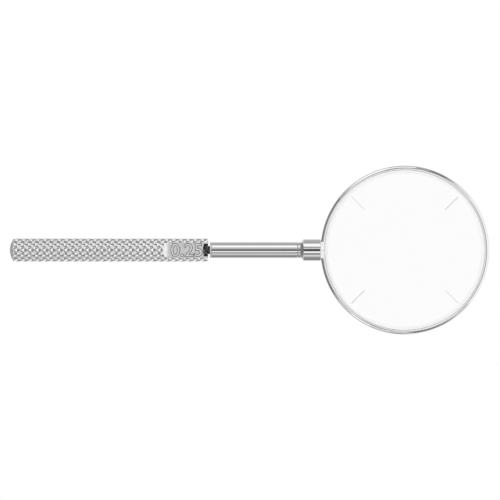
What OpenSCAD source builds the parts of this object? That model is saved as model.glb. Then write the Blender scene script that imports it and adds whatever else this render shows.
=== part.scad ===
// Flip cross lens: a crossed-cylinder test lens in a thin rim, on a long knurled handle.
// Millimetres. The origin is the centre of the lens. +X runs from the grip to the lens,
// +Z is the optical axis and points to the side with the axis marks and the milled pad.

/* [Rim] */
// Outside diameter of the rim
rim_od = 38; // [34:0.5:44]
// Radial width of the rim, seen from the front
rim_band = 0.95; // [0.85:0.05:1.4]
// Width of the rim along the optical axis
rim_w = 2.4; // [2.2:0.1:3.2]
// Radius of the rim's rounded edges on the lens's side; the outer edges take the rest of the band
rim_inner_edge_r = 0.3; // [0.2:0.05:0.45]
// Depth of the V groove inside the rim
groove_depth = 0.45; // [0.3:0.05:0.5]

/* [Rim blocks] */
// Distance across the two blocks that close the rim, along the rim
block_span = 3.7; // [3.2:0.1:4.2]
// How far the blocks' heads fall away towards the lens, in front and behind
block_slope = 0.15; // [0.05:0.05:0.3]
// Width of the saw cut between the two blocks
split_gap = 0.1; // [0.05:0.01:0.3]
// Radius of the tenon that the two blocks make together
tenon_r = 1.5; // [1.2:0.05:1.7]
// Length of the tenon behind the rim
tenon_l = 2.8; // [2.6:0.1:3]

/* [Lens] */
// Thickness of the lens at its centre
lens_t = 1.6; // [1.6:0.1:1.8]
// Thickness of the lens where it enters the rim
lens_edge_t = 1.2; // [1:0.05:1.25]
// Radial width of the polished bevel round the lens
bevel_w = 0.9; // [0.5:0.05:1.2]
// Power of each crossed cylinder, in dioptres
cross_power = 0.25; // [0.12:0.01:0.5]
// Refractive index of the glass
glass_index = 1.523; // [1.5:0.001:1.6]

/* [Axis marks] */
// Distance between the lens's bevel and the outer end of each mark
mark_end_gap = 0.15; // [0.1:0.05:1]
// Length of each mark
mark_l = 4.2; // [2:0.1:6]
// Width of each mark
mark_w = 0.2; // [0.1:0.01:0.4]
// Depth of the inlay in the glass
mark_depth = 0.08; // [0.05:0.01:0.15]
// Angle from the handle to the plus axis
plus_axis_a = 45; // [30:1:60]

/* [Ferrule] */
// Diameter of the ferrule's collar
collar_d = 5; // [4.7:0.05:5.4]
// Length of the collar
collar_l = 3.8; // [3.6:0.1:5]
// Length of the conical shoulder
cone_l = 0.85; // [0.5:0.05:1.5]
// Length of the short lip behind the cone
lip_l = 0.55; // [0.3:0.05:0.9]
// Depth of the saddle that the rim sits in
saddle_depth = 0.15; // [0.1:0.05:0.4]
// Size of the small chamfers on the collar's edges
collar_chamfer = 0.12; // [0.05:0.01:0.2]

/* [Lock screw] */
// Diameter of the lock screw
lock_d = 1.2; // [0.8:0.1:1.4]
// Distance from the rim's seat to the lock screw
lock_back = 2.05; // [1.6:0.05:2.1]
// Depth of the lock screw below the collar's surface
lock_sink = 0.06; // [0.03:0.01:0.15]
// Width of the screwdriver slot
lock_slot_w = 0.24; // [0.15:0.01:0.3]
// Depth of the screwdriver slot
lock_slot_depth = 0.3; // [0.2:0.05:0.35]

/* [Shank] */
// Diameter of the polished shank
shank_d = 3.65; // [3.2:0.05:4]
// Length of the polished shank
shank_l = 19.5; // [15:0.1:40]
// Size of the chamfers on the shank's ends
shank_chamfer = 0.15; // [0.05:0.05:0.3]
// Length of the spigot that holds the shank in the ferrule
spigot_l = 1.7; // [1.2:0.1:1.9]

/* [Grip stud and washer] */
// Diameter of the threaded stud and of the spigot
stud_d = 2; // [1.6:0.1:2.2]
// Length of stud inside the shank
stud_in_shank = 5; // [3:0.5:8]
// Length of stud behind the washer
stud_in_grip = 9.5; // [8:0.5:12]
// Thickness of the washer behind the shank
washer_t = 0.25; // [0.2:0.05:0.5]
// Open gap between the washer and the grip
grip_gap = 0.45; // [0.15:0.05:0.6]

/* [Grip] */
// Diameter of the grip over its smooth ends
grip_d = 5.22; // [4.9:0.02:7]
// Length of the grip
grip_l = 44.6; // [35:0.1:80]
// Radius of the domed rear end
dome_r = 4.3; // [4:0.1:20]
// Length of the smooth rear end, from the top of its dome
rear_land = 1; // [0.95:0.05:2]
// Length of the smooth front end
front_land = 0.2; // [0.15:0.05:1]
// Size of the chamfer on the grip's front end
grip_chamfer = 0.12; // [0.05:0.01:0.2]

/* [Knurl] */
// Number of diamonds round the grip
knurl_n = 16; // [12:1:20]
// Length of one diamond along the grip
knurl_pitch = 1.59; // [1.2:0.01:2.4]
// Depth of the knurl's grooves
knurl_depth = 0.2; // [0.1:0.01:0.25]
// How far the knurl's crests lie below the smooth ends
crest_sink = 0.01; // [0.01:0.01:0.05]

/* [Pad and mouth] */
// Depth of the milled pad below the top of the grip
pad_depth = 0.81; // [0.4:0.01:0.9]
// Length of the pad's level part
pad_l = 8.8; // [6:0.1:14]
// Radius of the cutter's run-out at the pad's rear end
pad_runout_r = 1.7; // [1:0.1:4]
// Width of the rim of metal left round the recess in the grip's front end
mouth_land = 0.31; // [0.27:0.01:0.6]
// Depth of the recess's straight wall
mouth_depth = 0.85; // [0.4:0.05:2]
// Half angle of the cone that the drill leaves at the bottom of the recess
mouth_a = 59; // [45:1:60]

/* [Clearances] */
// Radial clearance of threads and of the tenon
fit_gap = 0.03; // [0.02:0.01:0.06]
// Clearance of the rim in its saddle, and of the lens in its groove
seat_gap = 0.05; // [0.02:0.01:0.08]
// Overlap that joins the parts of one piece, and run of a cut past its face
lap = 0.05; // [0.02:0.01:0.1]

/* [Hidden] */
$fn = 96;
rim_r = rim_od / 2;
rim_bore_r = rim_r - rim_band;
rim_outer_edge_r = rim_band - rim_inner_edge_r;
rim_crown_r = rim_bore_r + rim_inner_edge_r;
lens_tip_r = rim_bore_r + groove_depth - seat_gap;
bevel_r = rim_bore_r - bevel_w;
mark_start_r = bevel_r - mark_end_gap - mark_l;
plus_curve_r = 1000 * (glass_index - 1) / (2 * cross_power);
edge_sag = rim_bore_r * rim_bore_r / (2 * plus_curve_r);
collar_r = collar_d / 2;
shank_r = shank_d / 2;
stud_r = stud_d / 2;
stud_bore_r = stud_r + fit_gap;
lock_r = lock_d / 2;
grip_r = grip_d / 2;
crest_r = grip_r - crest_sink;

// How far cutters reach into the open space beside the surface that they cut
cut_run = 1;

// Stations along the handle, from the rim back to the end of the grip
seat_x = -rim_r - seat_gap;
collar_front_x = seat_x + saddle_depth;
collar_rear_x = collar_front_x - collar_l;
lip_front_x = collar_rear_x - cone_l;
shank_front_x = lip_front_x - lip_l;
shank_rear_x = shank_front_x - shank_l;
washer_rear_x = shank_rear_x - washer_t;
grip_front_x = washer_rear_x - grip_gap;
grip_rear_x = grip_front_x - grip_l;
tenon_rear_x = seat_x - tenon_l;
lock_x = seat_x - lock_back;
stud_rear_x = washer_rear_x - stud_in_grip;
stud_front_x = shank_rear_x + stud_in_shank;
mouth_r = grip_r - mouth_land;
mouth_l = mouth_depth + (mouth_r - stud_bore_r) / tan(mouth_a);

// The knurl runs between the two smooth ends, in whole half diamonds
knurl_rear_x = grip_rear_x + rear_land - lap;
knurl_front_x = grip_front_x - front_land + lap;
knurl_l = knurl_front_x - knurl_rear_x;
knurl_rows = round(knurl_l / (knurl_pitch / 2));
knurl_cols = 2 * knurl_n;

// A round bar along X, or a cone where the two radii differ
module bar(from_x, to_x, from_r, to_r) {
    translate([from_x, 0, 0])
        rotate([0, 90, 0])
            cylinder(h = to_x - from_x, r1 = from_r, r2 = to_r);
}

// A turned shape along X, from points given as [radius, x]
module turned(points) {
    rotate([0, 90, 0])
        rotate_extrude()
            polygon(points);
}

// The V groove round the inside of the rim, as the tool that cuts it
module groove_cutter() {
    rotate_extrude()
        polygon([
            [rim_bore_r - cut_run, -lens_edge_t / 2 - seat_gap],
            [rim_bore_r, -lens_edge_t / 2 - seat_gap],
            [rim_bore_r + groove_depth, 0],
            [rim_bore_r, lens_edge_t / 2 + seat_gap],
            [rim_bore_r - cut_run, lens_edge_t / 2 + seat_gap]
        ]);
}

// The rim's section: small rounds towards the lens and large rounds outside meet at the crown
module rim_section() {
    for (side = [-1, 1]) {
        translate([rim_crown_r, side * (rim_w / 2 - rim_inner_edge_r)])
            circle(r = rim_inner_edge_r);
        intersection() {
            translate([rim_crown_r, side * (rim_w / 2 - rim_outer_edge_r)])
                circle(r = rim_outer_edge_r);
            translate([rim_crown_r, -rim_w / 2])
                square([rim_outer_edge_r, rim_w]);
        }
    }
    translate([rim_bore_r, rim_inner_edge_r - rim_w / 2])
        square([rim_inner_edge_r + lap, rim_w - 2 * rim_inner_edge_r]);
    translate([rim_crown_r, rim_outer_edge_r - rim_w / 2])
        square([rim_outer_edge_r, rim_w - 2 * rim_outer_edge_r]);
}

// The rim is an open ring: its two ends are soldered to the blocks at the handle
module rim() {
    color("gainsboro")
    difference() {
        rotate_extrude()
            rim_section();
        groove_cutter();
        translate([-rim_od, -block_span / 2, -rim_w])
            cube([rim_od, block_span, 2 * rim_w]);
    }
}

// Half of the rim's closure: a flat-faced head that carries the groove on, and half a tenon
module rim_block(side) {
    head_w = (block_span - split_gap) / 2;
    head_y = side > 0 ? split_gap / 2 : -block_span / 2;
    half_y = side > 0 ? split_gap / 2 : -split_gap / 2 - rim_od;
    color("silver")
    difference() {
        union() {
            translate([0, head_y + head_w, 0])
                rotate([90, 0, 0])
                    linear_extrude(height = head_w)
                        polygon([
                            [seat_x, -rim_w / 2],
                            [-rim_bore_r, block_slope - rim_w / 2],
                            [cut_run - rim_bore_r, block_slope - rim_w / 2],
                            [cut_run - rim_bore_r, rim_w / 2 - block_slope],
                            [-rim_bore_r, rim_w / 2 - block_slope],
                            [seat_x, rim_w / 2]
                        ]);
            intersection() {
                bar(tenon_rear_x, seat_x + lap, tenon_r, tenon_r);
                translate([-2 * rim_od, half_y, -rim_od])
                    cube([2 * rim_od, rim_od, 2 * rim_od]);
            }
        }
        cylinder(h = 2 * rim_w, r = rim_bore_r, center = true);
        groove_cutter();
    }
}

module upper_rim_block() {
    rim_block(1);
}

module lower_rim_block() {
    rim_block(-1);
}

// Everything below the lens's front surface, which is curved across the plus axis only
module below_front_curve() {
    rotate([0, 0, plus_axis_a])
        translate([0, 0, lens_t / 2 - plus_curve_r])
            rotate([0, 90, 0])
                cylinder(h = rim_od, r = plus_curve_r, center = true, $fn = 720);
}

// The hollow of the lens's back surface, which is curved across the minus axis only
module back_hollow() {
    rotate([0, 0, plus_axis_a + 90])
        translate([0, 0, -lens_t / 2 - plus_curve_r])
            rotate([0, 90, 0])
                cylinder(h = 2 * rim_od, r = plus_curve_r, center = true, $fn = 720);
}

// The glass before the marks are cut into it
module lens_blank() {
    difference() {
        intersection() {
            rotate_extrude()
                polygon([
                    [0, -lens_t / 2 - edge_sag],
                    [bevel_r, -lens_t / 2 - edge_sag],
                    [rim_bore_r - seat_gap, -lens_edge_t / 2],
                    [lens_tip_r, 0],
                    [rim_bore_r - seat_gap, lens_edge_t / 2],
                    [bevel_r, lens_t / 2],
                    [0, lens_t / 2]
                ]);
            below_front_curve();
        }
        back_hollow();
    }
}

// The cutter for two thin slots that lie opposite each other on one axis
module mark_slots(axis_a) {
    difference() {
        for (a = [axis_a, axis_a + 180])
            rotate([0, 0, a])
                translate([mark_start_r, -mark_w / 2, 0])
                    cube([mark_l, mark_w, lens_t]);
        translate([0, 0, -mark_depth]) below_front_curve();
    }
}

// Two thin inlays that fill the slots of one axis
module marks(axis_a) {
    intersection() {
        lens_blank();
        mark_slots(axis_a);
    }
}

module lens() {
    color("aliceblue", 0.5)
    difference() {
        lens_blank();
        mark_slots(plus_axis_a);
        mark_slots(plus_axis_a + 90);
    }
}

module plus_axis_marks() {
    color("dimgray") marks(plus_axis_a);
}

module minus_axis_marks() {
    color("darkgray") marks(plus_axis_a + 90);
}

// The ferrule holds the rim's tenon in front and the shank's spigot behind
module ferrule() {
    color("silver")
    difference() {
        turned([
            [0, shank_front_x],
            [shank_r - collar_chamfer, shank_front_x],
            [shank_r, shank_front_x + collar_chamfer],
            [shank_r, lip_front_x],
            [collar_r - 1.5 * collar_chamfer, collar_rear_x - collar_chamfer],
            [collar_r, collar_rear_x],
            [collar_r, collar_front_x - collar_chamfer],
            [collar_r - collar_chamfer, collar_front_x],
            [0, collar_front_x]
        ]);
        bar(shank_front_x - lap, seat_x, stud_bore_r, stud_bore_r);
        bar(tenon_rear_x - seat_gap, seat_x + lap, tenon_r + fit_gap, tenon_r + fit_gap);
        translate([seat_x, -collar_d, -rim_w / 2 - seat_gap])
            cube([collar_d, 2 * collar_d, rim_w + 2 * seat_gap]);
        translate([lock_x, 0, 0])
            rotate([-90, 0, 0])
                cylinder(h = collar_d, r = lock_r + fit_gap);
    }
}

// A slotted headless screw that presses on the tenon
module lock_screw() {
    tip_y = tenon_r + fit_gap;
    head_y = collar_r - lock_sink;
    color("lightgray")
    difference() {
        translate([lock_x, tip_y, 0])
            rotate([-90, 0, 0])
                cylinder(h = head_y - tip_y, r = lock_r);
        translate([lock_x - lock_d, head_y - lock_slot_depth, -lock_slot_w / 2])
            cube([2 * lock_d, collar_d, lock_slot_w]);
    }
}

// A polished bar with a turned spigot in front and a tapped hole behind
module shank() {
    color("silver")
    difference() {
        union() {
            turned([
                [0, shank_rear_x],
                [shank_r - shank_chamfer, shank_rear_x],
                [shank_r, shank_rear_x + shank_chamfer],
                [shank_r, shank_front_x - shank_chamfer],
                [shank_r - shank_chamfer, shank_front_x],
                [0, shank_front_x]
            ]);
            bar(shank_front_x - lap, shank_front_x + spigot_l, stud_r, stud_r);
        }
        bar(shank_rear_x - lap, stud_front_x, stud_bore_r, stud_bore_r);
    }
}

// The stud is fixed in the shank, and the grip screws onto it
module grip_stud() {
    color("gray")
    turned([
        [0, stud_rear_x],
        [stud_r - shank_chamfer, stud_rear_x],
        [stud_r, stud_rear_x + shank_chamfer],
        [stud_r, stud_front_x],
        [0, stud_front_x]
    ]);
}

module washer() {
    color("whitesmoke")
    difference() {
        bar(washer_rear_x, shank_rear_x, shank_r, shank_r);
        bar(washer_rear_x - lap, shank_rear_x + lap, stud_bore_r, stud_bore_r);
    }
}

// A corner of the knurl: crests and groove crossings take turns along rows and round the bar
function knurl_point(row, col) =
    let (r = (row + col) % 2 == 0 ? crest_r - knurl_depth : crest_r,
         a = 360 * col / knurl_cols,
         x = knurl_rear_x + knurl_l * row / knurl_rows)
    [x, r * cos(a), r * sin(a)];

// The two triangles between four corners, split along the groove that crosses them
function knurl_cell(row, col) =
    let (next = (col + 1) % knurl_cols,
         a = row * knurl_cols + col,
         b = row * knurl_cols + next,
         c = (row + 1) * knurl_cols + next,
         d = (row + 1) * knurl_cols + col)
    (row + col) % 2 == 0 ? [[a, c, b], [a, d, c]] : [[a, d, b], [b, d, c]];

module knurled_bar() {
    points = [for (row = [0 : knurl_rows], col = [0 : knurl_cols - 1]) knurl_point(row, col)];
    cells = [for (row = [0 : knurl_rows - 1], col = [0 : knurl_cols - 1])
                 each knurl_cell(row, col)];
    rear_end = [for (col = [0 : knurl_cols - 1]) col];
    front_end = [for (col = [knurl_cols - 1 : -1 : 0]) knurl_rows * knurl_cols + col];
    polyhedron(points, concat(cells, [rear_end, front_end]), convexity = 4);
}

// The domed rear end, turned smooth
module grip_rear() {
    rotate([0, 90, 0])
        rotate_extrude()
            intersection() {
                translate([0, grip_rear_x + dome_r]) circle(r = dome_r);
                translate([0, grip_rear_x]) square([grip_r, rear_land]);
            }
}

module grip_front() {
    turned([
        [0, grip_front_x - front_land],
        [grip_r, grip_front_x - front_land],
        [grip_r, grip_front_x - grip_chamfer],
        [grip_r - grip_chamfer, grip_front_x],
        [0, grip_front_x]
    ]);
}

// The milled pad: a level floor to the front end, and a round run-out behind
module pad_cutter() {
    floor_z = grip_r - pad_depth;
    level_x = grip_front_x - pad_l;
    rotate([90, 0, 0])
        linear_extrude(height = grip_d + 2 * cut_run, center = true)
            union() {
                translate([level_x, floor_z]) square([pad_l + cut_run, grip_d]);
                translate([level_x, floor_z + pad_runout_r]) circle(r = pad_runout_r);
            }
}

// The drilled recess in the grip's front end, as the tool that cuts it
module mouth_cutter() {
    turned([
        [0, grip_front_x - mouth_l],
        [stud_bore_r, grip_front_x - mouth_l],
        [mouth_r, grip_front_x - mouth_depth],
        [mouth_r, grip_front_x + lap],
        [0, grip_front_x + lap]
    ]);
}

module grip() {
    color("silver")
    difference() {
        union() {
            knurled_bar();
            grip_rear();
            grip_front();
        }
        pad_cutter();
        mouth_cutter();
        bar(stud_rear_x - seat_gap, grip_front_x + lap, stud_bore_r, stud_bore_r);
    }
}

grip();
grip_stud();
washer();
shank();
ferrule();
lock_screw();
rim();
upper_rim_block();
lower_rim_block();
lens();
plus_axis_marks();
minus_axis_marks();
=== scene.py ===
import math
import bmesh
import bpy
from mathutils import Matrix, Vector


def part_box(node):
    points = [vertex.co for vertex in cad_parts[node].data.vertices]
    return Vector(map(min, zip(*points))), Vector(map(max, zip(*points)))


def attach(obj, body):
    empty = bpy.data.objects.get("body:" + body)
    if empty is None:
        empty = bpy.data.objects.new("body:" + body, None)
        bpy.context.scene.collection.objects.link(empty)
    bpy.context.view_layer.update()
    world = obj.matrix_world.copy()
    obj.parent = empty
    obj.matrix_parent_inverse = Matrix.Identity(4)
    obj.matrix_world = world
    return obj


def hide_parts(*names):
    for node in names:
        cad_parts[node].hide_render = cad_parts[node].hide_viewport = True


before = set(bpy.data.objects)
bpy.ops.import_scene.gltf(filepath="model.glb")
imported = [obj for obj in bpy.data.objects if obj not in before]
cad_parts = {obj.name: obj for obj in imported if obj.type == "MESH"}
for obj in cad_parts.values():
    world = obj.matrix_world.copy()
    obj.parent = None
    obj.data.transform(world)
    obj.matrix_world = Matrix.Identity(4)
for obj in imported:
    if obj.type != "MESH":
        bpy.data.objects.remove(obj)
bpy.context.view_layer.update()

mm = 0.001
nearby = 0.1 * mm                     # how close a vertex counts as lying on a line
boreR = 1.03 * mm                     # every bore round the stud and round the shank's spigot
print("frame loaded,", len(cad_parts), "nodes")


def nothingSelected():
    if bpy.context.object and bpy.context.object.mode != "OBJECT":
        bpy.ops.object.mode_set(mode="OBJECT")
    bpy.ops.object.select_all(action="DESELECT")


def makeActive(piece):
    nothingSelected()
    piece.select_set(True)
    bpy.context.view_layer.objects.active = piece


# adds a primitive at its size and place, and leaves it open for editing
def startPiece(name, addShape, **settings):
    nothingSelected()
    addShape(**settings)
    piece = bpy.context.object
    piece.name = piece.data.name = name
    bpy.ops.object.transform_apply(location=True, rotation=True, scale=True)
    bpy.ops.object.mode_set(mode="EDIT")
    bpy.ops.mesh.select_mode(type="VERT")
    return piece


# selects the vertices, edges or faces that pass a test, and nothing else
def pick(kind, test):
    bpy.ops.mesh.select_mode(type=kind)
    bpy.ops.mesh.select_all(action="DESELECT")
    shape = bmesh.from_edit_mesh(bpy.context.object.data)
    parts = {"VERT": shape.verts, "EDGE": shape.edges, "FACE": shape.faces}[kind]
    for part in parts:
        if test(part):
            part.select_set(True)
    shape.select_flush_mode()
    bmesh.update_edit_mesh(bpy.context.object.data)


# merges what meets, turns the faces outwards and leaves edit mode
def closePiece():
    bpy.ops.mesh.select_all(action="SELECT")
    bpy.ops.mesh.remove_doubles(threshold=1e-7)
    bpy.ops.mesh.normals_make_consistent(inside=False)
    bpy.ops.object.mode_set(mode="OBJECT")


# turns an outline of (x, radius) points round the handle's axis
def turnPiece(name, outline, sides=96, hollow=False):
    startX, startR = outline[0]
    piece = startPiece(
        name, bpy.ops.mesh.primitive_circle_add, vertices=sides, radius=startR,
        fill_type="NOTHING" if hollow else "NGON",
        location=(startX, 0, 0), rotation=(0, math.pi / 2, 0))
    bpy.ops.mesh.select_all(action="SELECT")
    for (x0, r0), (x1, r1) in zip(outline, outline[1:]):
        bpy.ops.mesh.extrude_region_move(TRANSFORM_OT_translate={"value": (x1 - x0, 0, 0)})
        bpy.ops.transform.resize(value=(1, r1 / r0, r1 / r0), center_override=(x1, 0, 0))
    closePiece()
    return piece


def softenEdges(piece, width, segments=2, angle=30):
    soft = piece.modifiers.new("softEdges", "BEVEL")
    soft.width = width
    soft.segments = segments
    soft.limit_method = "ANGLE"
    soft.angle_limit = math.radians(angle)
    makeActive(piece)
    bpy.ops.object.modifier_apply(modifier=soft.name)


# joins a tool to a piece, or cuts with it; the cut faces keep the tool's own material
def combine(piece, tool, operation):
    change = piece.modifiers.new("change", "BOOLEAN")
    change.operation = operation
    change.solver = "EXACT"
    change.material_mode = "TRANSFER"
    change.object = tool
    makeActive(piece)
    bpy.ops.object.modifier_apply(modifier=change.name)
    bpy.data.objects.remove(tool)


def finishPiece(piece, body, node, smoothAngle=10):
    makeActive(piece)
    bpy.ops.object.shade_smooth_by_angle(angle=math.radians(smoothAngle))
    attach(piece, body)
    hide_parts(node)


def toLinear(hexColour):
    channels = [int(hexColour[i:i + 2], 16) / 255 for i in (1, 3, 5)]
    return [c / 12.92 if c <= 0.04045 else ((c + 0.055) / 1.055) ** 2.4 for c in channels] + [1.0]


def addNode(tree, kind, settings=None, links=None):
    node = tree.nodes.new(kind)
    for name, value in (settings or {}).items():
        if isinstance(name, int) or name in node.inputs:
            node.inputs[name].default_value = value
        else:
            setattr(node, name, value)
    for name, source in (links or {}).items():
        tree.links.new(source, node.inputs[name])
    return node


def startMaterial(name, colour, roughness, metallic=1.0):
    material = bpy.data.materials.new(name)
    material.use_nodes = True
    shader = material.node_tree.nodes["Principled BSDF"]
    shader.inputs["Base Color"].default_value = toLinear(colour)
    shader.inputs["Roughness"].default_value = roughness
    shader.inputs["Metallic"].default_value = metallic
    return material, material.node_tree, shader


print("helpers ready")

# polished nickel-chrome plate over turned brass: mirror bright, with faint lathe lines and finger marks
chromePlan = {
    "turned": "#DADADA",
    "rim": "#E6E6E6",
    "smudgeSize": 2.5 * mm,
    "smoothest": 0.02,
    "dullest": 0.05,
    "lineSpacing": 0.12 * mm,
    "lineDepth": 0.0004 * mm,
}


def makeChrome(name, colour, turned):
    material, tree, shader = startMaterial(name, colour, chromePlan["smoothest"])
    place = addNode(tree, "ShaderNodeTexCoord")
    smudge = addNode(
        tree, "ShaderNodeTexNoise", {"Scale": 1 / chromePlan["smudgeSize"], "Detail": 4, "Roughness": 0.6},
        {"Vector": place.outputs["Object"]})
    dull = addNode(
        tree, "ShaderNodeMapRange",
        {"From Min": 0.35, "From Max": 0.7,
         "To Min": chromePlan["smoothest"], "To Max": chromePlan["dullest"]},
        {"Value": smudge.outputs[0]})
    tree.links.new(dull.outputs[0], shader.inputs["Roughness"])
    # lathe lines run round the handle, so they change along X only; the rim's lines run every way
    across = 1 / chromePlan["lineSpacing"]
    stretch = (across, across / 40, across / 40) if turned else (across, across, across)
    spread = addNode(tree, "ShaderNodeMapping", {"Scale": stretch}, {"Vector": place.outputs["Object"]})
    lines = addNode(tree, "ShaderNodeTexNoise", {"Scale": 1, "Detail": 2}, {"Vector": spread.outputs[0]})
    bump = addNode(
        tree, "ShaderNodeBump", {"Strength": 0.15, "Distance": chromePlan["lineDepth"]},
        {"Height": lines.outputs[0]})
    tree.links.new(bump.outputs[0], shader.inputs["Normal"])
    return material


turnedChrome = makeChrome("turnedChrome", chromePlan["turned"], True)
rimChrome = makeChrome("polishedRimChrome", chromePlan["rim"], False)

# satin nickel plate over rolled knurling: crests rubbed bright, grooves dull with handling
nickelPlan = {
    "groove": "#DADADA",
    "crest": "#F8F8F8",
    "depth": 0.2 * mm,
    "grooveRoughness": 0.24,
    "crestRoughness": 0.13,
    "grain": 0.08 * mm,
    "grainDepth": 0.0012 * mm,
    "patch": 1.8 * mm,
    "leastWorn": -0.18,
    "mostWorn": 0.12,
}
gripLow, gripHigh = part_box("grip")
crestR = gripHigh.y - 0.01 * mm


def makeKnurledNickel():
    material, tree, shader = startMaterial(
        "knurledSatinNickel", nickelPlan["crest"], nickelPlan["crestRoughness"])
    place = addNode(tree, "ShaderNodeTexCoord")
    # distance from the handle's axis, found by flattening X
    flat = addNode(
        tree, "ShaderNodeVectorMath", {"operation": "MULTIPLY", 1: (0, 1, 1)},
        {0: place.outputs["Object"]})
    radius = addNode(tree, "ShaderNodeVectorMath", {"operation": "LENGTH"}, {0: flat.outputs["Vector"]})
    height = addNode(
        tree, "ShaderNodeMapRange",
        {"From Min": crestR - nickelPlan["depth"], "From Max": crestR - 0.2 * nickelPlan["depth"]},
        {"Value": radius.outputs["Value"]})
    patch = addNode(
        tree, "ShaderNodeTexNoise", {"Scale": 1 / nickelPlan["patch"], "Detail": 5, "Roughness": 0.6},
        {"Vector": place.outputs["Object"]})
    uneven = addNode(
        tree, "ShaderNodeMapRange",
        {"From Min": 0.3, "From Max": 0.7,
         "To Min": nickelPlan["leastWorn"], "To Max": nickelPlan["mostWorn"]},
        {"Value": patch.outputs[0]})
    rubbed = addNode(
        tree, "ShaderNodeMath", {"operation": "ADD", "use_clamp": True},
        {0: height.outputs[0], 1: uneven.outputs[0]})
    tone = addNode(
        tree, "ShaderNodeMix",
        {"data_type": "RGBA", 6: toLinear(nickelPlan["groove"]), 7: toLinear(nickelPlan["crest"])},
        {0: rubbed.outputs[0]})
    tree.links.new(tone.outputs[2], shader.inputs["Base Color"])
    sheen = addNode(
        tree, "ShaderNodeMapRange",
        {"To Min": nickelPlan["grooveRoughness"], "To Max": nickelPlan["crestRoughness"]},
        {"Value": rubbed.outputs[0]})
    tree.links.new(sheen.outputs[0], shader.inputs["Roughness"])
    grain = addNode(
        tree, "ShaderNodeTexNoise", {"Scale": 1 / nickelPlan["grain"], "Detail": 3},
        {"Vector": place.outputs["Object"]})
    bump = addNode(
        tree, "ShaderNodeBump", {"Strength": 0.2, "Distance": nickelPlan["grainDepth"]},
        {"Height": grain.outputs[0]})
    tree.links.new(bump.outputs[0], shader.inputs["Normal"])
    return material


knurledNickel = makeKnurledNickel()

# satin nickel on a milled flat: even, pale, with the cutter's fine arcs across it
milledPlan = {
    "colour": "#F2F2F2",
    "roughness": 0.48,
    "arcSpacing": 0.14 * mm,
    "arcCentre": (-60 * mm, 0, 0),
    "arcDepth": 0.004 * mm,
    "fleck": 0.4 * mm,
    "fleckSpread": 0.2,
}


def makeMilledNickel(name, colour, roughness):
    material, tree, shader = startMaterial(name, colour, roughness)
    place = addNode(tree, "ShaderNodeTexCoord")
    shift = addNode(
        tree, "ShaderNodeVectorMath", {"operation": "SUBTRACT", 1: milledPlan["arcCentre"]},
        {0: place.outputs["Object"]})
    reach = addNode(tree, "ShaderNodeVectorMath", {"operation": "LENGTH"}, {0: shift.outputs["Vector"]})
    turns = addNode(
        tree, "ShaderNodeMath", {"operation": "MULTIPLY", 1: 2 * math.pi / milledPlan["arcSpacing"]},
        {0: reach.outputs["Value"]})
    arcs = addNode(tree, "ShaderNodeMath", {"operation": "SINE"}, {0: turns.outputs[0]})
    bump = addNode(
        tree, "ShaderNodeBump", {"Strength": 0.2, "Distance": milledPlan["arcDepth"]},
        {"Height": arcs.outputs[0]})
    fleck = addNode(
        tree, "ShaderNodeTexNoise", {"Scale": 1 / milledPlan["fleck"], "Detail": 4, "Roughness": 0.7},
        {"Vector": place.outputs["Object"]})
    uneven = addNode(
        tree, "ShaderNodeMapRange",
        {"From Min": 0.3, "From Max": 0.7,
         "To Min": roughness - milledPlan["fleckSpread"], "To Max": roughness + milledPlan["fleckSpread"]},
        {"Value": fleck.outputs[0]})
    tree.links.new(uneven.outputs[0], shader.inputs["Roughness"])
    tree.links.new(bump.outputs[0], shader.inputs["Normal"])
    return material


milledNickel = makeMilledNickel("milledSatinNickel", milledPlan["colour"], milledPlan["roughness"])
stampedNickel = makeMilledNickel("stampedNickel", "#F8F8F8", 0.55)

# the turned end is matt from the tool, so it takes light from all round and stays pale
turnedNickel = makeMilledNickel("mattTurnedNickel", "#F2F2F2", 0.75)

# painted shade for recesses, holes, slots and stamp walls: a dark, dull grey that stands in for the shade
# inside them
paintedRecessShade = makeMilledNickel("paintedRecessShadeGrey", "#6E6E6E", 0.45)

# the stamped washer has a satin face that glints softly
washerNickel = makeMilledNickel("satinWasherNickel", "#F2F2F2", 0.5)

# plain steel with a film of oil: grey, half bright
steelPlan = {
    "colour": "#8E8E8E",
    "roughness": 0.32,
    "smoothest": 0.24,
    "dullest": 0.42,
    "grain": 0.15 * mm,
}


def makeSteel():
    material, tree, shader = startMaterial("oiledSteel", steelPlan["colour"], steelPlan["roughness"])
    place = addNode(tree, "ShaderNodeTexCoord")
    grain = addNode(
        tree, "ShaderNodeTexNoise", {"Scale": 1 / steelPlan["grain"], "Detail": 4},
        {"Vector": place.outputs["Object"]})
    uneven = addNode(
        tree, "ShaderNodeMapRange",
        {"From Min": 0.3, "From Max": 0.7,
         "To Min": steelPlan["smoothest"], "To Max": steelPlan["dullest"]},
        {"Value": grain.outputs[0]})
    tree.links.new(uneven.outputs[0], shader.inputs["Roughness"])
    return material


oiledSteel = makeSteel()

# coated optical crown glass: clear, with hardly any reflection
# the bevel round its edge is fine ground, so it looks frosted
glassPlan = {
    "index": 1.523,
    "coatedReflection": 0.05,
    "bevelStart": 17.1 * mm,
    "bevelFull": 17.4 * mm,
    "groundClear": 0.9,
    "groundRoughness": 0.06,
    "grit": 0.05 * mm,
}


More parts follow.
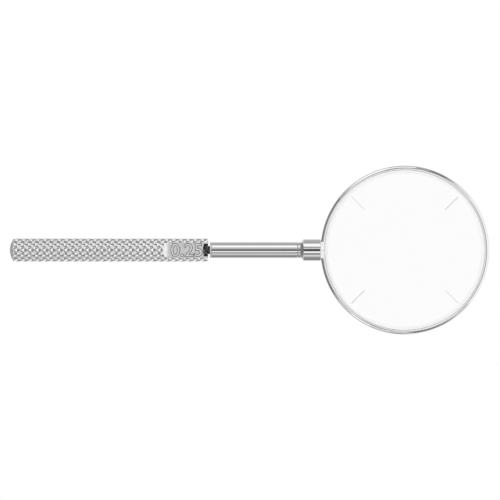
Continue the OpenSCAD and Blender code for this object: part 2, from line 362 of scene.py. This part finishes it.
def makeLensGlass():
    material, tree, shader = startMaterial("coatedOpticalGlass", "#FFFFFF", 0.0, metallic=0.0)
    shader.inputs["IOR"].default_value = glassPlan["index"]
    shader.inputs["Specular IOR Level"].default_value = glassPlan["coatedReflection"]
    place = addNode(tree, "ShaderNodeTexCoord")
    # distance from the lens's centre, found by flattening Z
    flat = addNode(
        tree, "ShaderNodeVectorMath", {"operation": "MULTIPLY", 1: (1, 1, 0)},
        {0: place.outputs["Object"]})
    radius = addNode(tree, "ShaderNodeVectorMath", {"operation": "LENGTH"}, {0: flat.outputs["Vector"]})
    # the true normal keeps the bevel crisp
    facets = addNode(tree, "ShaderNodeNewGeometry")
    tree.links.new(facets.outputs["True Normal"], shader.inputs["Normal"])
    ground = addNode(
        tree, "ShaderNodeMapRange",
        {"From Min": glassPlan["bevelStart"], "From Max": glassPlan["bevelFull"]},
        {"Value": radius.outputs["Value"]})
    clear = addNode(
        tree, "ShaderNodeMapRange", {"To Min": 1, "To Max": glassPlan["groundClear"]},
        {"Value": ground.outputs[0]})
    tree.links.new(clear.outputs[0], shader.inputs["Transmission Weight"])
    grit = addNode(
        tree, "ShaderNodeTexNoise", {"Scale": 1 / glassPlan["grit"], "Detail": 2},
        {"Vector": place.outputs["Object"]})
    frost = addNode(
        tree, "ShaderNodeMapRange",
        {"To Min": glassPlan["groundRoughness"] * 0.7, "To Max": glassPlan["groundRoughness"] * 1.3},
        {"Value": grit.outputs[0]})
    rough = addNode(
        tree, "ShaderNodeMath", {"operation": "MULTIPLY"}, {0: ground.outputs[0], 1: frost.outputs[0]})
    tree.links.new(rough.outputs[0], shader.inputs["Roughness"])
    return material


# baked enamel rubbed into the cuts: matt, slightly uneven
enamelPlan = {
    "plus": "#CCCCCC",
    "minus": "#E2E2E2",
    "roughness": 0.6,
    "smoothest": 0.45,
    "dullest": 0.75,
    "speck": 0.2 * mm,
}


def makeEnamel(name, colour):
    material, tree, shader = startMaterial(name, colour, enamelPlan["roughness"], metallic=0.0)
    place = addNode(tree, "ShaderNodeTexCoord")
    speck = addNode(
        tree, "ShaderNodeTexNoise", {"Scale": 1 / enamelPlan["speck"], "Detail": 3},
        {"Vector": place.outputs["Object"]})
    uneven = addNode(
        tree, "ShaderNodeMapRange", {"To Min": enamelPlan["smoothest"], "To Max": enamelPlan["dullest"]},
        {"Value": speck.outputs[0]})
    tree.links.new(uneven.outputs[0], shader.inputs["Roughness"])
    return material


# the pieces that keep their solids need only a finish
nodeFinishes = {
    "lens": makeLensGlass(),
    "plus_axis_marks": makeEnamel("greyEnamel", enamelPlan["plus"]),
    "minus_axis_marks": makeEnamel("paleEnamel", enamelPlan["minus"]),
    "upper_rim_block": rimChrome,
    "lower_rim_block": rimChrome,
}
for name, material in nodeFinishes.items():
    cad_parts[name].data.materials.clear()
    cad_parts[name].data.materials.append(material)
print("materials ready")

# the grip: a knurled bar with a domed end, a milled pad with a stamped power, and a drilled mouth
gripPlan = {
    "diamonds": 16,
    "halfPitch": 43.9 * mm / 55,
    "knurlStart": 0.95 * mm,          # from the rear end to the first whole row of diamonds
    "rowsOverDome": 2,                # extra rows that the dome then cuts away
    "frontLand": 0.2 * mm,
    "crestRise": 0.02 * mm,
    "peakRise": 0.05 * mm,            # the sharp peaks, before they are cut to flats
    "crestFlat": 0.17 * mm,
    "domeR": 4.3 * mm,
    "domeSteps": 16,
    "cutterReach": 1 * mm,            # how far a tool runs past the front face
    "edge": 0.12 * mm,
    "padDepth": 0.81 * mm,
    "padLength": 8.8 * mm,
    "runoutR": 1.7 * mm,
    "mouthR": 2.3 * mm,
    "mouthDepth": 0.85 * mm,
    "drillPoint": 59,
    "boreRear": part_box("grip_stud")[0].x - 0.05 * mm,
}
landR = crestR - gripPlan["crestRise"]
padFloor = gripHigh.y - gripPlan["padDepth"]


def makeKnurledBar():
    plan = gripPlan
    rearX = gripLow.x + plan["knurlStart"] - plan["rowsOverDome"] * plan["halfPitch"]
    frontX = gripHigh.x - plan["frontLand"] + 0.05 * mm
    rows = round((frontX - rearX) / plan["halfPitch"])
    columns = 2 * plan["diamonds"]
    peakR = crestR + plan["peakRise"]
    bar = startPiece(
        "knurledGrip", bpy.ops.mesh.primitive_cylinder_add, vertices=columns, radius=peakR,
        depth=frontX - rearX, location=((rearX + frontX) / 2, 0, 0), rotation=(0, math.pi / 2, 0))
    pick("EDGE", lambda edge: abs(edge.verts[0].co.x - edge.verts[1].co.x) > plan["halfPitch"])
    bpy.ops.mesh.subdivide(number_cuts=rows - 1)

    def inGroove(vert):
        row = round((vert.co.x - rearX) / plan["halfPitch"])
        column = round(math.atan2(vert.co.z, vert.co.y) / (2 * math.pi) * columns)
        return (row + column) % 2 == plan["rowsOverDome"] % 2

    grooveShare = (crestR - nickelPlan["depth"]) / peakR
    pick("VERT", inGroove)
    bpy.ops.transform.resize(value=(1, grooveShare, grooveShare), center_override=(0, 0, 0))
    pick("FACE", lambda face: len(face.verts) == 4)
    bpy.ops.mesh.quads_convert_to_tris(quad_method="SHORTEST_DIAGONAL")
    pick("VERT", lambda vert: math.hypot(vert.co.y, vert.co.z) > crestR and rearX < vert.co.x < frontX)
    bpy.ops.mesh.bevel(offset=plan["crestFlat"], segments=1, affect="VERTICES")
    closePiece()
    bar.data.materials.append(knurledNickel)
    return bar


def makeDomeForm():
    plan = gripPlan
    widest = math.asin(1.05 * crestR / plan["domeR"])
    angles = [widest * (step + 0.05) / plan["domeSteps"] for step in range(plan["domeSteps"] + 1)]
    arc = [(gripLow.x + plan["domeR"] * (1 - math.cos(a)), plan["domeR"] * math.sin(a)) for a in angles]
    form = turnPiece("domeForm", arc + [(gripHigh.x + plan["cutterReach"], arc[-1][1])])
    form.data.materials.append(turnedNickel)
    return form


def makeFrontLand():
    rearX = gripHigh.x - gripPlan["frontLand"]
    land = turnPiece("frontLand", [
        (rearX, landR), (gripHigh.x - gripPlan["edge"], landR), (gripHigh.x, landR - gripPlan["edge"])])
    land.data.materials.append(milledNickel)
    return land


def makePadCutter():
    plan = gripPlan
    rearX = gripHigh.x - plan["padLength"] - plan["runoutR"]
    length = gripHigh.x + plan["cutterReach"] - rearX
    tall = 3 * mm
    cutter = startPiece(
        "padCutter", bpy.ops.mesh.primitive_cube_add, size=1, scale=(length, 3 * crestR, tall),
        location=(rearX + length / 2, 0, padFloor + tall / 2))
    pick("EDGE", lambda edge: all(
        v.co.x < rearX + nearby and v.co.z < padFloor + nearby for v in edge.verts))
    bpy.ops.mesh.bevel(offset=plan["runoutR"], segments=20, affect="EDGES")
    closePiece()
    cutter.data.materials.append(milledNickel)
    return cutter


def makeMouthCutter():
    plan = gripPlan
    mouthBack = gripHigh.x - plan["mouthDepth"]
    pointLength = (plan["mouthR"] - boreR) / math.tan(math.radians(plan["drillPoint"]))
    cutter = turnPiece("mouthCutter", [
        (plan["boreRear"], boreR),
        (mouthBack - pointLength, boreR),
        (mouthBack, plan["mouthR"]),
        (gripHigh.x + 0.2 * mm, plan["mouthR"])])
    # the drilled mouth's walls take the painted recess shade, a dark grey standing in for the shade inside
    # the mouth
    cutter.data.materials.append(paintedRecessShade)
    return cutter


# the lens power, as plain figures stamped in the pad
powerPlan = {
    "figures": "0.25",
    "size": 4 * mm,
    "height": 3.1 * mm,
    "depth": 0.02 * mm,
    "wall": 0.12 * mm,
    "rearX": -52.7 * mm,
    "frontX": -45.5 * mm,
}


def makePowerCutter():
    nothingSelected()
    bpy.ops.object.text_add(location=(0, 0, 0))
    stamp = bpy.context.object
    stamp.data.body = powerPlan["figures"]
    stamp.data.size = powerPlan["size"]
    stamp.data.extrude = powerPlan["depth"]
    stamp.data.bevel_depth = powerPlan["wall"]
    stamp.data.bevel_resolution = 0
    stamp.data.resolution_u = 6
    bpy.ops.object.convert(target="MESH")
    stamp = bpy.context.object
    stamp.name = "powerStamp"
    along = [v.co.x for v in stamp.data.vertices]
    across = [v.co.y for v in stamp.data.vertices]
    lengthShare = (powerPlan["frontX"] - powerPlan["rearX"]) / (max(along) - min(along))
    heightShare = powerPlan["height"] / (max(across) - min(across))
    stamp.scale = (lengthShare, heightShare, 1)
    middleY = (min(across) + max(across)) / 2
    stamp.location = (powerPlan["rearX"] - min(along) * lengthShare, -middleY * heightShare, padFloor)
    bpy.ops.object.transform_apply(location=True, rotation=True, scale=True)
    stamp.data.materials.clear()
    stamp.data.materials.append(stampedNickel)
    # the stamp's steep walls take the painted recess shade, a dark outline that stands in for the shade
    # along the strokes
    stamp.data.materials.append(paintedRecessShade)
    bpy.ops.object.mode_set(mode="EDIT")
    pick("FACE", lambda face: abs(face.normal.z) < 0.9)
    stamp.active_material_index = 1
    bpy.ops.object.material_slot_assign()
    closePiece()
    return stamp


grip = makeKnurledBar()
combine(grip, makeDomeForm(), "INTERSECT")
combine(grip, makeFrontLand(), "UNION")
combine(grip, makePadCutter(), "DIFFERENCE")
combine(grip, makeMouthCutter(), "DIFFERENCE")
combine(grip, makePowerCutter(), "DIFFERENCE")
finishPiece(grip, "handle_grip", "grip", smoothAngle=18)
print("grip made,", len(grip.data.polygons), "faces")

# the shank: a polished bar with a bore behind and a spigot in front
shankPlan = {"end": 0.15 * mm, "edge": 0.03 * mm, "spigotR": 1 * mm, "sides": 128}
shankLow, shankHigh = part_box("shank")
studLow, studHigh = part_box("grip_stud")
ferruleLow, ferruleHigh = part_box("ferrule")
shankR = shankHigh.y
shankFront = ferruleLow.x
shank = turnPiece("polishedShank", [
    (studHigh.x, boreR),
    (shankLow.x, boreR),
    (shankLow.x, shankR - shankPlan["end"]),
    (shankLow.x + shankPlan["end"], shankR),
    (shankFront - shankPlan["end"], shankR),
    (shankFront, shankR - shankPlan["end"]),
    (shankFront, shankPlan["spigotR"]),
    (shankHigh.x, shankPlan["spigotR"])], sides=shankPlan["sides"])
softenEdges(shank, shankPlan["edge"])
shank.data.materials.append(turnedChrome)
finishPiece(shank, "lens_head", "shank")

# the washer: a thin ring with rounded edges, behind the shank
washerPlan = {"edge": 0.1 * mm, "edgeSteps": 4}
washerLow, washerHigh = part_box("washer")
washer = turnPiece("gripWasher", [
    (washerLow.x, boreR),
    (washerLow.x, washerHigh.y),
    (washerHigh.x, washerHigh.y),
    (washerHigh.x, boreR),
    (washerLow.x, boreR)], hollow=True)
softenEdges(washer, washerPlan["edge"], segments=washerPlan["edgeSteps"])
washer.data.materials.append(washerNickel)
finishPiece(washer, "travel_washer", "washer")
print("shank and washer made")

# the ferrule: lip, cone and collar, with a saddle for the rim and a hole for the lock screw
ferrulePlan = {
    "lip": 0.55 * mm,
    "collar": 3.94 * mm,
    "edge": 0.12 * mm,
    "softEdge": 0.03 * mm,
    "tenonBoreR": 1.53 * mm,
    "tenonEnd": -21.9 * mm,
    "seat": -19.05 * mm,
    "saddleWidth": 2.5 * mm,
    "saddleRound": 0.04 * mm,
    "lockClearance": 0.03 * mm,
    "drillLength": 2.4 * mm,
    "drillMiddle": 0.6 * mm,          # how far the drill's middle is above the screw's inner end
    "sides": 128,
}


def makeFerrule():
    plan = ferrulePlan
    rear, front, collarR, chamfer = ferruleLow.x, ferruleHigh.x, ferruleHigh.y, plan["edge"]
    ferrule = turnPiece("ferruleCollar", [
        (rear, boreR),
        (rear, shankR - chamfer),
        (rear + chamfer, shankR),
        (rear + plan["lip"], shankR),
        (front - plan["collar"] - chamfer, collarR - 1.5 * chamfer),
        (front - plan["collar"], collarR),
        (front - chamfer, collarR),
        (front, collarR - chamfer),
        (front, plan["tenonBoreR"]),
        (plan["tenonEnd"], plan["tenonBoreR"]),
        (plan["tenonEnd"], boreR),
        (rear, boreR)], sides=plan["sides"], hollow=True)
    softenEdges(ferrule, plan["softEdge"], angle=20)
    ferrule.data.materials.append(turnedChrome)
    saddle = startPiece(
        "saddleCutter", bpy.ops.mesh.primitive_cube_add, size=1,
        scale=(1 * mm, 3 * collarR, plan["saddleWidth"]), location=(plan["seat"] + 0.5 * mm, 0, 0))
    pick("EDGE", lambda edge: all(v.co.x < plan["seat"] + nearby for v in edge.verts) and
         abs(edge.verts[0].co.y - edge.verts[1].co.y) > collarR)
    bpy.ops.mesh.bevel(offset=plan["saddleRound"], segments=3, affect="EDGES")
    closePiece()
    saddle.data.materials.append(turnedChrome)
    combine(ferrule, saddle, "DIFFERENCE")
    lockLow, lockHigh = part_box("lock_screw")
    lockX, lockR = (lockLow.x + lockHigh.x) / 2, (lockHigh.x - lockLow.x) / 2
    drill = startPiece(
        "lockDrill", bpy.ops.mesh.primitive_cylinder_add, vertices=48,
        radius=lockR + plan["lockClearance"], depth=plan["drillLength"],
        location=(lockX, lockLow.y + plan["drillMiddle"], 0), rotation=(math.pi / 2, 0, 0))
    closePiece()
    # the lock hole's walls take the painted recess shade, a dark grey standing in for the shade inside the
    # hole
    drill.data.materials.append(paintedRecessShade)
    combine(ferrule, drill, "DIFFERENCE")
    finishPiece(ferrule, "lens_head", "ferrule")


makeFerrule()

# the lock screw: headless, with a sawn slot across its end
lockPlan = {"slotWidth": 0.24 * mm, "slotDepth": 0.3 * mm, "slotRound": 0.05 * mm, "edge": 0.05 * mm}


def makeLockScrew():
    low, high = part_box("lock_screw")
    centreX, radius = (low.x + high.x) / 2, (high.x - low.x) / 2
    screw = startPiece(
        "lockScrewSlotted", bpy.ops.mesh.primitive_cylinder_add, vertices=48, radius=radius,
        depth=high.y - low.y, location=(centreX, (low.y + high.y) / 2, 0), rotation=(math.pi / 2, 0, 0))
    closePiece()
    softenEdges(screw, lockPlan["edge"])
    screw.data.materials.append(oiledSteel)
    saw = startPiece(
        "slotSaw", bpy.ops.mesh.primitive_cube_add, size=1,
        scale=(3 * radius, 2 * lockPlan["slotDepth"], lockPlan["slotWidth"]),
        location=(centreX, high.y, 0))
    pick("EDGE", lambda edge: all(v.co.y < high.y for v in edge.verts) and
         abs(edge.verts[0].co.x - edge.verts[1].co.x) > radius)
    bpy.ops.mesh.bevel(offset=lockPlan["slotRound"], segments=3, affect="EDGES")
    closePiece()
    # the slot's walls take the painted recess shade, a dark grey standing in for the shade inside the slot
    saw.data.materials.append(paintedRecessShade)
    combine(screw, saw, "DIFFERENCE")
    finishPiece(screw, "lock", "lock_screw")


makeLockScrew()
print("ferrule and lock screw made")

# the stud's thread: each corner's place round and along the stud gives its place on the thread's flank
studPlan = {"pitch": 0.4 * mm, "steps": 16, "threadDepth": 0.2 * mm, "endShare": 0.8}


def makeThreadedStud():
    plan = studPlan
    stepLength = plan["pitch"] / plan["steps"]
    radius = studHigh.y
    rows = int((studHigh.x - studLow.x) / stepLength)
    stud = startPiece(
        "threadedStud", bpy.ops.mesh.primitive_cylinder_add, vertices=plan["steps"], radius=radius,
        depth=rows * stepLength, location=(studHigh.x - rows * stepLength / 2, 0, 0),
        rotation=(0, math.pi / 2, 0))
    pick("EDGE", lambda edge: abs(edge.verts[0].co.x - edge.verts[1].co.x) > plan["pitch"])
    bpy.ops.mesh.subdivide(number_cuts=rows - 1)
    bpy.ops.mesh.select_mode(type="VERT")

    def threadPhase(vert):
        row = round((studHigh.x - vert.co.x) / stepLength)
        turn = math.atan2(vert.co.z, vert.co.y) / (2 * math.pi) * plan["steps"]
        return (row + round(turn)) % plan["steps"]

    for phase in range(1, plan["steps"]):
        fall = 1 - abs(2 * phase / plan["steps"] - 1)
        share = (radius - fall * plan["threadDepth"]) / radius
        pick("VERT", lambda vert: threadPhase(vert) == phase)
        bpy.ops.transform.resize(value=(1, share, share), center_override=(0, 0, 0))
    lastX = studHigh.x - (rows - 0.5) * stepLength
    pick("VERT", lambda vert: vert.co.x < lastX)
    bpy.ops.transform.resize(value=(1, plan["endShare"], plan["endShare"]), center_override=(0, 0, 0))
    closePiece()
    stud.data.materials.append(oiledSteel)
    finishPiece(stud, "lens_head", "grip_stud", smoothAngle=30)


makeThreadedStud()
print("stud made")

# the rim: a drawn band with large rounds outside, steep lips inside and a V groove, bent to an open ring
rimPlan = {
    "band": 0.95 * mm,
    "crown": 0.36 * mm,               # how far outside the bore the section is widest
    "innerEdgeR": 0.12 * mm,
    "grooveDepth": 0.45 * mm,
    "grooveHalfWidth": 0.65 * mm,
    "gap": 3.7 * mm,
    "sectionSides": 32,
    "spinSteps": 320,
}


def makeRim():
    plan = rimPlan
    low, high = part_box("rim")
    outerR, top = high.y, high.z
    innerR = outerR - plan["band"]
    crownR = innerR + plan["crown"]
    outerEdgeR = outerR - crownR
    neckR = crownR - plan["innerEdgeR"]
    half = plan["gap"] / 2
    startAngle = math.pi + math.asin(half / outerR)
    sweep = 2 * math.pi - 2 * math.asin(half / outerR)
    crownX, crownY = crownR * math.cos(startAngle), crownR * math.sin(startAngle)
    rim = startPiece(
        "lensRim", bpy.ops.mesh.primitive_circle_add, vertices=plan["sectionSides"], radius=outerEdgeR,
        location=(crownX, crownY, 0), rotation=(math.pi / 2, math.pi / plan["sectionSides"], startAngle))

    def reach(vert):
        return math.hypot(vert.co.x, vert.co.y)

    for side in (1, -1):  # draw the circle apart, then shrink the inner rounds towards the crown
        pick("VERT", lambda vert: side * vert.co.z > 0)
        bpy.ops.transform.translate(value=(0, 0, side * (top - outerEdgeR)))
        pick("VERT", lambda vert: side * vert.co.z > 0 and reach(vert) < crownR)
        shrink = plan["innerEdgeR"] / outerEdgeR
        bpy.ops.transform.resize(
            value=(shrink, shrink, shrink), center_override=(crownX, crownY, side * top))
    pick("EDGE", lambda edge: all(reach(v) < crownR for v in edge.verts) and
         edge.verts[0].co.z * edge.verts[1].co.z < 0)
    bpy.ops.mesh.subdivide(number_cuts=3)
    nearNeck = neckR + 0.02 * mm
    neckZ = max(v.co.z for v in bmesh.from_edit_mesh(rim.data).verts if reach(v) < nearNeck)
    pick("VERT", lambda vert: reach(vert) < nearNeck and abs(vert.co.z) < 0.05 * mm)
    deeper = (innerR + plan["grooveDepth"]) / neckR
    bpy.ops.transform.resize(value=(deeper, deeper, 1), center_override=(0, 0, 0))
    pick("VERT", lambda vert: reach(vert) < nearNeck and abs(vert.co.z) < 0.8 * neckZ)
    lipShare = innerR / neckR
    bpy.ops.transform.resize(
        value=(lipShare, lipShare, 2 * plan["grooveHalfWidth"] / neckZ), center_override=(0, 0, 0))
    bpy.ops.mesh.select_all(action="SELECT")
    bpy.ops.mesh.spin(steps=plan["spinSteps"], angle=-sweep, center=(0, 0, 0), axis=(0, 0, 1))
    for side in (1, -1):  # square off and close the two ends beside the blocks
        pick("EDGE", lambda edge: edge.is_boundary and all(side * v.co.y > 0 for v in edge.verts))
        bpy.ops.transform.resize(value=(1, 0, 1), center_override=(0, side * half, 0))
        bpy.ops.mesh.edge_face_add()
    closePiece()
    rim.data.materials.append(rimChrome)
    finishPiece(rim, "lens_head", "rim", smoothAngle=35)
    return rim


rim = makeRim()
print("rim made,", len(rim.data.polygons), "faces")

# a light tent of flat panels that only polished metal sees: azimuth from, to, zenith from, to, brightness
studioPlan = {
    "tentRadius": 1.7,
    "rings": 180,
    "panels": [
        (0, 360, 0, 12, 0.1),
        (330, 360, 12, 26, 1.08),
        (0, 30, 12, 26, 1.08),
        (80, 100, 21, 32, 0.39),
        (80, 100, 42, 66, 1.38),
        (80, 100, 66, 79, 0.81),
        (80, 100, 79, 96, 0.44),
        (262, 278, 20, 31, 1.32),
        (262, 278, 31, 42, 0.34),
        (262, 278, 42, 53, 0.45),
        (262, 278, 65, 78, 0.72),
        (262, 278, 78, 96, 0.38),
        (49, 52, 14, 96, 0.82),       # narrow steps, three at each place where the brightness jumps
        (52, 55, 14, 96, 0.6),
        (55, 58, 14, 96, 0.4),
        (125, 128, 14, 96, 1.02),
        (128, 131, 14, 96, 0.85),
        (131, 134, 14, 96, 0.68),
        (212, 215, 14, 96, 0.36),
        (215, 218, 14, 96, 0.5),
        (218, 221, 14, 96, 0.66),
        (302, 305, 16, 76, 0.4),
        (305, 308, 16, 76, 0.52),
        (308, 311, 14, 96, 0.66),
        (0, 38, 12, 100, 1.17),
        (38, 52, 12, 100, 1.0),
        (52, 70, 18, 96, 0.24),
        (70, 80, 18, 96, 0.45),
        (100, 128, 12, 96, 1.2),
        (128, 140, 12, 96, 0.55),
        (140, 172, 20, 96, 0.27),
        (172, 190, 20, 96, 0.25),
        (190, 218, 20, 96, 0.24),
        (218, 232, 12, 96, 0.8),
        (232, 248, 12, 96, 1.1),
        (248, 262, 12, 96, 0.85),
        (278, 292, 12, 76, 0.24),
        (278, 292, 76, 96, 0.6),
        (292, 308, 16, 76, 0.3),
        (292, 308, 76, 96, 0.55),
        (308, 322, 12, 96, 0.78),
        (322, 360, 12, 100, 1.12),
    ],
}


def glowMaterial(name, brightness):
    material = bpy.data.materials.new(name)
    material.use_nodes = True
    tree = material.node_tree
    tree.nodes.clear()
    glow = addNode(tree, "ShaderNodeEmission", {"Strength": brightness})
    addNode(tree, "ShaderNodeOutputMaterial", links={"Surface": glow.outputs[0]})
    return material


def metalOnly(panel):
    panel.visible_camera = False
    panel.visible_diffuse = False
    panel.visible_transmission = False
    panel.visible_shadow = False


def makeTent():
    tent = startPiece(
        "tentPanels", bpy.ops.mesh.primitive_uv_sphere_add, segments=studioPlan["rings"],
        ring_count=studioPlan["rings"], radius=studioPlan["tentRadius"])
    panelOf = {}
    shape = bmesh.from_edit_mesh(tent.data)
    for face in shape.faces:
        centre = face.calc_center_median().normalized()
        zenith = math.degrees(math.acos(max(-1, min(1, centre.z))))
        azimuth = math.degrees(math.atan2(centre.y, centre.x)) % 360
        for index, (turnFrom, turnTo, tiltFrom, tiltTo, _) in enumerate(studioPlan["panels"]):
            if turnFrom <= azimuth <= turnTo and tiltFrom <= zenith <= tiltTo:
                face.material_index = index
                panelOf[face.index] = index
                break
    pick("FACE", lambda face: face.index not in panelOf)
    bpy.ops.mesh.delete(type="FACE")
    bpy.ops.object.mode_set(mode="OBJECT")
    for index, panel in enumerate(studioPlan["panels"]):
        tent.data.materials.append(glowMaterial("tentPanel%d" % index, panel[4]))
    metalOnly(tent)


# the table beside the picture, as the metal's sides see it: x from, to, y from, to, brightness
tablePlan = {
    "depth": 60 * mm,
    "cards": {
        "tableFar": (-0.11, 1.6, 66 * mm, 1.6, 0.6),
        "tableNear": (-1.6, 0.01, -1.6, -66 * mm, 0.34),
        "tableLeft": (-1.6, -0.11, -66 * mm, 1.6, 0.28),
    },
}


def makeTableCard(name, x0, x1, y0, y1, brightness):
    centre = ((x0 + x1) / 2, (y0 + y1) / 2, -tablePlan["depth"])
    card = startPiece(name, bpy.ops.mesh.primitive_plane_add, size=1, location=centre)
    bpy.ops.mesh.select_all(action="SELECT")
    bpy.ops.transform.resize(value=(x1 - x0, y1 - y0, 1), center_override=centre)
    bpy.ops.object.mode_set(mode="OBJECT")
    card.data.materials.append(glowMaterial(name, brightness))
    metalOnly(card)


# pale paper: matt for the light it throws back, white where a camera, metal or glass sees it
floorPlan = {"size": 6, "depth": 80 * mm, "paper": "#E6E6E6", "glow": 0.85, "shadowed": "#707070"}


def makeFloor():
    floor = startPiece(
        "paleFloor", bpy.ops.mesh.primitive_plane_add, size=floorPlan["size"],
        location=(0, 0, -floorPlan["depth"]))
    bpy.ops.object.mode_set(mode="OBJECT")
    paper = bpy.data.materials.new("palePaper")
    paper.use_nodes = True
    tree = paper.node_tree
    tree.nodes.clear()
    path = addNode(tree, "ShaderNodeLightPath")
    direct = addNode(
        tree, "ShaderNodeMath", {"operation": "MAXIMUM"},
        {0: path.outputs["Is Camera Ray"], 1: path.outputs["Is Glossy Ray"]})
    seen = addNode(
        tree, "ShaderNodeMath", {"operation": "MAXIMUM"},
        {0: direct.outputs[0], 1: path.outputs["Is Transmission Ray"]})
    matt = addNode(tree, "ShaderNodeBsdfDiffuse", {"Color": toLinear(floorPlan["paper"])})
    white = addNode(tree, "ShaderNodeEmission", {"Strength": floorPlan["glow"]})
    shadowed = addNode(tree, "ShaderNodeBsdfDiffuse", {"Color": toLinear(floorPlan["shadowed"])})
    both = addNode(tree, "ShaderNodeAddShader", links={0: white.outputs[0], 1: shadowed.outputs[0]})
    paperLook = addNode(
        tree, "ShaderNodeMixShader", links={0: seen.outputs[0], 1: matt.outputs[0], 2: both.outputs[0]})
    addNode(tree, "ShaderNodeOutputMaterial", links={"Surface": paperLook.outputs[0]})
    floor.data.materials.append(paper)


makeTent()
for name, card in tablePlan["cards"].items():
    makeTableCard(name, *card)
makeFloor()

# plain soft light from all round
world = bpy.data.worlds.new("studioAir")
bpy.context.scene.world = world
world.use_nodes = True
world.node_tree.nodes["Background"].inputs["Color"].default_value = (1, 1, 1, 1)
world.node_tree.nodes["Background"].inputs["Strength"].default_value = 1
bpy.context.scene.view_settings.view_transform = "Standard"
print("studio ready")

# the camera looks straight down on the instrument
cameraPlan = {"lens": 300, "sensor": 36, "frameWidth": 112.56 * mm, "centre": (-34.85 * mm, 0.01 * mm)}
cameraData = bpy.data.cameras.new("topCamera")
cameraData.lens = cameraPlan["lens"]
cameraData.sensor_width = cameraPlan["sensor"]
cameraData.clip_start = 0.01
cameraData.clip_end = 20
camera = bpy.data.objects.new("topCamera", cameraData)
bpy.context.scene.collection.objects.link(camera)
cameraHeight = cameraPlan["frameWidth"] * cameraPlan["lens"] / cameraPlan["sensor"]
camera.location = (*cameraPlan["centre"], cameraHeight)
bpy.context.scene.camera = camera

nothingSelected()
